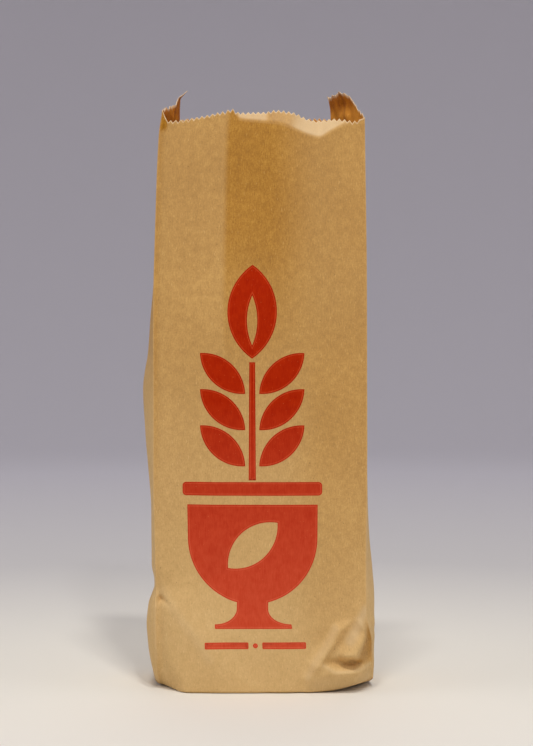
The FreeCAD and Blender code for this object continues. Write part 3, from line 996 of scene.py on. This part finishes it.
def kraft_colour(tree, paper, tones, spread):
    """Brown kraft: streaks of fibre along the sheet, a cloudy formation, dark bark specks, pale shives.

    tones are the colours of the thin, the plain and the thick paper, the specks and the shives."""
    streak = texture(tree, paper, 1900, 420, 3, 0.65)
    grain = texture(tree, paper, 1300, 1150, 3, 0.75, 3.0)
    cloud = texture(tree, paper, 330, 260, 3, 0.55, 6.0)
    wide = texture(tree, paper, 34, 22, 2, 0.5, 8.0)
    level = weighted(tree, (streak, 0.3), (grain, 0.32), (cloud, 0.22), (wide, 0.16))
    colour = ramp(tree, level, [(0.5 - spread, tones[0]), (0.5, tones[1]), (0.5 + spread, tones[2])])
    speck = ramp(tree, texture(tree, paper, 1250, 900, 1, 0.4, 12.0), [(0.71, 0.0), (0.78, 0.5)])
    colour = mix(tree, speck, colour, tones[3])
    shive = ramp(tree, texture(tree, paper, 2600, 420, 1, 0.4, 15.0), [(0.69, 0.0), (0.76, 0.6)])
    return mix(tree, shive, colour, tones[4])


def kraft(name, golden_shaded, pale_lit):
    """Kraft paper, in its golden shaded colours where the painted shade is 1 and its pale lit ones where it
    is 0, with pale worn creases, a painted highlight on the bent lip and the lit ridges of the foot, and
    frayed cut edges.
    """
    material, tree, paper = paper_material(name)
    # the pale lit and the golden shaded copy of the paper, mixed by the painted shade
    foot = kraft_colour(tree, paper, pale_lit, 0.26)
    mouth = kraft_colour(tree, paper, golden_shaded, 0.12)
    colour = mix(tree, attribute(tree, "painted_shade"), foot, mouth)
    frayed = times(tree, attribute(tree, "cut"), texture(tree, paper, 2400, 1500, 2, 0.6, 21.0))
    colour = mix(tree, times(tree, frayed, 1.6, True), colour, linear(240, 214, 172))
    worn = times(tree, attribute(tree, "crease"), texture(tree, paper, 900, 300, 2, 0.6, 25.0))
    colour = mix(tree, times(tree, worn, 0.7, True), colour, linear(218, 180, 124))
    # painted highlight on the bent lip and the lit ridges and creases of the foot
    colour = mix(tree, times(tree, attribute(tree, "lip"), 0.7), colour, linear(210, 184, 143))
    rough = plus(tree, times(tree, texture(tree, paper, 600, 500, 2, 0.5, 30.0), 0.2), 0.58)
    bumped_surface(tree, colour, rough, fibre_height(tree, paper), 0.4, 0.00006, 0.18)
    return material


def ink(name, body, thin, low_body, low_thin):
    """Matt red ink: the paper's streaks show through it, with pinholes where it missed a fibre.

    Low on the bag it is painted paler, as the paper is, standing in for bounce light from the floor."""
    material, tree, paper = paper_material(name)
    streak = texture(tree, paper, 1900, 260, 4, 0.62)
    cloud = texture(tree, paper, 300, 240, 3, 0.55, 6.0)
    level = weighted(tree, (streak, 0.55), (cloud, 0.45))
    high = ramp(tree, level, [(0.36, body), (0.64, thin)])
    low = ramp(tree, level, [(0.36, low_body), (0.64, low_thin)])
    # painted bounce light: paler towards the foot
    up = add(tree, "ShaderNodeSeparateXYZ", Vector=paper).outputs["Y"]
    near_foot = add(tree, "ShaderNodeMapRange", Value=up, i1=0.02, i2=0.13, i3=1.0, i4=0.0).outputs[0]
    colour = mix(tree, near_foot, high, low)
    hole = ramp(tree, texture(tree, paper, 1700, 1300, 1, 0.4, 40.0), [(0.71, 0.0), (0.78, 0.6)])
    colour = mix(tree, hole, colour, linear(206, 110, 66))
    bumped_surface(tree, colour, 0.62, fibre_height(tree, paper), 0.3, 0.00005, 0.04)
    return material


def paste(name):
    """Dried paste."""
    material, tree, paper = paper_material(name)
    blot = texture(tree, paper, 700, 260, 3, 0.6)
    colour = ramp(tree, blot, [(0.35, linear(150, 118, 74)), (0.65, linear(202, 176, 128))])
    bumped_surface(tree, colour, 0.4, blot, 0.3, 0.00005, 0.5)
    return material


def colours(*shades):
    return [linear(*shade) for shade in shades]


# The paper's golden shaded and pale lit colours outside, and its shaded and lit ones inside, which are a
# little darker and more golden: painted shade and light.
golden_shaded = colours((144, 92, 12), (170, 115, 23), (194, 141, 46), (104, 66, 14), (210, 166, 84))
pale_lit = colours((190, 154, 96), (214, 178, 120), (234, 200, 144), (154, 118, 72), (240, 210, 158))
shaded = colours((150, 84, 8), (180, 104, 14), (202, 130, 30), (112, 62, 8), (216, 154, 60))
lit = colours((212, 140, 44), (234, 162, 60), (246, 184, 86), (160, 100, 30), (246, 196, 112))
kraft_outside = kraft("kraft_outside", golden_shaded, pale_lit)
kraft_inside = kraft("kraft_inside", shaded, lit)
inks = [
    ink("ink_rim", *colours((162, 27, 2), (178, 41, 5), (204, 67, 39), (214, 82, 54))),
    ink("ink_squeezed", *colours((184, 52, 18), (200, 72, 34), (216, 88, 61), (224, 104, 75))),
    ink("ink_solid", *colours((164, 29, 0), (180, 43, 4), (206, 71, 43), (216, 88, 58))),
]
dried_paste = paste("dried_paste")


# ---- assembly --------------------------------------------------------------------------------------

BOTH_FACES = (kraft_outside, kraft_inside)


def outer_ply(s):
    return 0 * s


def seam_inset(s):
    """Zero clear of the seam, and one ply under it."""
    return (PLY + 0.05) * (1 - ease((s - LAP - 0.3) / 1.5))


def fit(piece, body, nodes, axis=None, materials=BOTH_FACES):
    """Gives a sheet its materials and its body, and hides the CAD nodes that it stands for.

    With an axis, it gets its own copy of its mesh."""
    for material in materials:
        piece.data.materials.append(material)
    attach(piece, body)
    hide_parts(*nodes)
    if axis is not None:
        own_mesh(piece)


fit(front_sheet(), "front", ["front_panel"], (0, 1, 0))
fit(printed_film(), "front", ["printed_mark"], (0, 1, 0), inks)
left_back = back_sheet("back_left_sheet", -HALF_WIDE, LAP, outer_ply, 2.0)
fit(left_back, "back", ["back_panel_left"], (0, 1, 0))
right_back = back_sheet("back_right_sheet", -LAP, HALF_WIDE, seam_inset, 4.0)
fit(right_back, "back", ["back_panel_right"], (0, 1, 0))
pastes = (dried_paste, dried_paste)
fit(seam_glue(), "back", ["back_seam_glue"], (0, 1, 0), pastes)
for side, way in (("left", -1), ("right", 1)):
    for end in ("front", "rear"):
        body = f"gusset_{side}_{end}"
        fit(gusset_sheet(side, end), body, [body], (1, 0, 0))
for end, body in (("front", "base_front"), ("rear", "base_rear")):
    fit(base_sheet(end), body, [f"base_{end}_flap"], (0, 0, 1))
    for side in ("left", "right"):
        node = f"corner_tuck_{end}_{side}"
        fit(tuck_sheet(end, side), body, [node], (0, 0, 1))
fit(hem_sheet(), "base_rear", ["base_hem"])
fit(hem_glue(), "base_rear", ["base_hem_glue"], materials=pastes)


# ---- the stage -------------------------------------------------------------------------------------

def sweep():
    """A pale round floor that turns up into a wall on every side, in metres."""
    flat, radius, top = 1.5, 1.3, 3.2
    line = [(r, 0.0) for r in np.linspace(0.02, flat, 20)]
    turns = np.linspace(0.04, math.pi / 2, 36)
    line += [(flat + radius * math.sin(a), radius * (1 - math.cos(a))) for a in turns]
    line.append((flat + radius, top))
    around = 96
    points = []
    for r, z in line:
        points += [(x, y, z) for x, y in arc(0, 0, r, 0, 360, around + 1)[:-1]]
    faces = [tuple(range(around))]
    for i in range(len(line) - 1):
        for j in range(around):
            k = (j + 1) % around
            faces.append((i * around + j, (i + 1) * around + j, (i + 1) * around + k, i * around + k))
    mesh = bpy.data.meshes.new("sweep")
    mesh.from_pydata(points, [], faces)
    mesh.polygons.foreach_set("use_smooth", np.ones(len(faces), bool))
    made = link_object("sweep", mesh)
    material, tree = new_material("sweep_paint")
    # Painted pool of light: the paint is palest under the bag, darkest about half a metre out, and a little
    # paler again up the wall.
    place = add(tree, "ShaderNodeTexCoord").outputs["Object"]
    away = add(tree, "ShaderNodeVectorMath", (("operation", "LENGTH"),), i0=place).outputs["Value"]
    far = add(tree, "ShaderNodeMapRange", Value=away, i1=0.0, i2=3.0)
    tones = colours((232, 228, 217), (226, 222, 212), (206, 203, 201), (220, 217, 222), (219, 216, 221))
    surface(tree, ramp(tree, far.outputs[0], list(zip((0.0, 0.05, 0.15, 0.4, 1.0), tones))), 0.9, 0.1)
    mesh.materials.append(material)


def lamp(name, azimuth, elevation, away, size, power, colour):
    """A round soft light that faces the bag. Azimuth 0 is on the camera's side and 90 on the right."""
    turn, up = math.radians(azimuth), math.radians(elevation)
    middle = Vector((0, 0, 0.13))
    way = Vector((math.sin(turn) * math.cos(up), -math.cos(turn) * math.cos(up), math.sin(up)))
    data = bpy.data.lights.new(name, "AREA")
    data.shape, data.size, data.energy, data.color = "DISK", size, power, colour
    made = link_object(name, data)
    made.location = middle + way * away
    made.rotation_mode = "QUATERNION"
    made.rotation_quaternion = way.to_track_quat("Z", "Y")


def daylight():
    """A pale room and soft lamps. The Standard view keeps the red ink and the golden paper as they are."""
    world = bpy.data.worlds.new("room")
    bpy.context.scene.world = world
    world.use_nodes = True
    background = world.node_tree.nodes["Background"]
    background.inputs["Color"].default_value = linear(248, 244, 250)
    background.inputs["Strength"].default_value = 0.41
    lamp("key", 13, 60, 1.3, 0.12, 4.8, (1.0, 0.985, 0.96))
    lamp("low", 9, 38, 1.3, 0.08, 2.8, (1.0, 0.985, 0.96))
    lamp("fill", -10, 64, 1.3, 0.16, 3.95, (1.0, 0.985, 0.965))
    lamp("side_left", -78, 24, 1.2, 0.9, 2.5, (1.0, 0.99, 0.98))
    lamp("side_right", 78, 24, 1.2, 0.9, 1.85, (1.0, 0.99, 0.98))
    lamp("behind", 180, 60, 1.9, 0.9, 4.4, (0.98, 0.98, 1.0))
    bpy.context.scene.view_settings.view_transform = "Standard"


def camera():
    """Level with the upper part of the bag, nearly square to its front, in metres."""
    away, high, right = 0.90, 0.170, 0.0028
    sensor = 36.0
    top_share, low_share = 0.1515, 0.9276  # of the picture's height, from its top
    top = math.atan2(RIM * MM - high, away)
    low = math.atan2(-high, away)
    lens, tilt = 97.0, -0.03
    for _ in range(60):  # find the lens and tilt that put the front's two edges there

        def spot(angle):
            return 0.5 - math.tan(angle - tilt) * lens / sensor

        lens *= (low_share - top_share) / (spot(low) - spot(top))
        tilt -= (spot(top) - top_share) * sensor / lens
    data = bpy.data.cameras.new("camera")
    data.sensor_width, data.lens = sensor, lens
    made = link_object("camera", data)
    made.location = (right, -HALF_DEEP * MM - away, high)
    made.rotation_euler = (math.pi / 2 + tilt, 0, 0)
    bpy.context.scene.camera = made


sweep()
daylight()
camera()
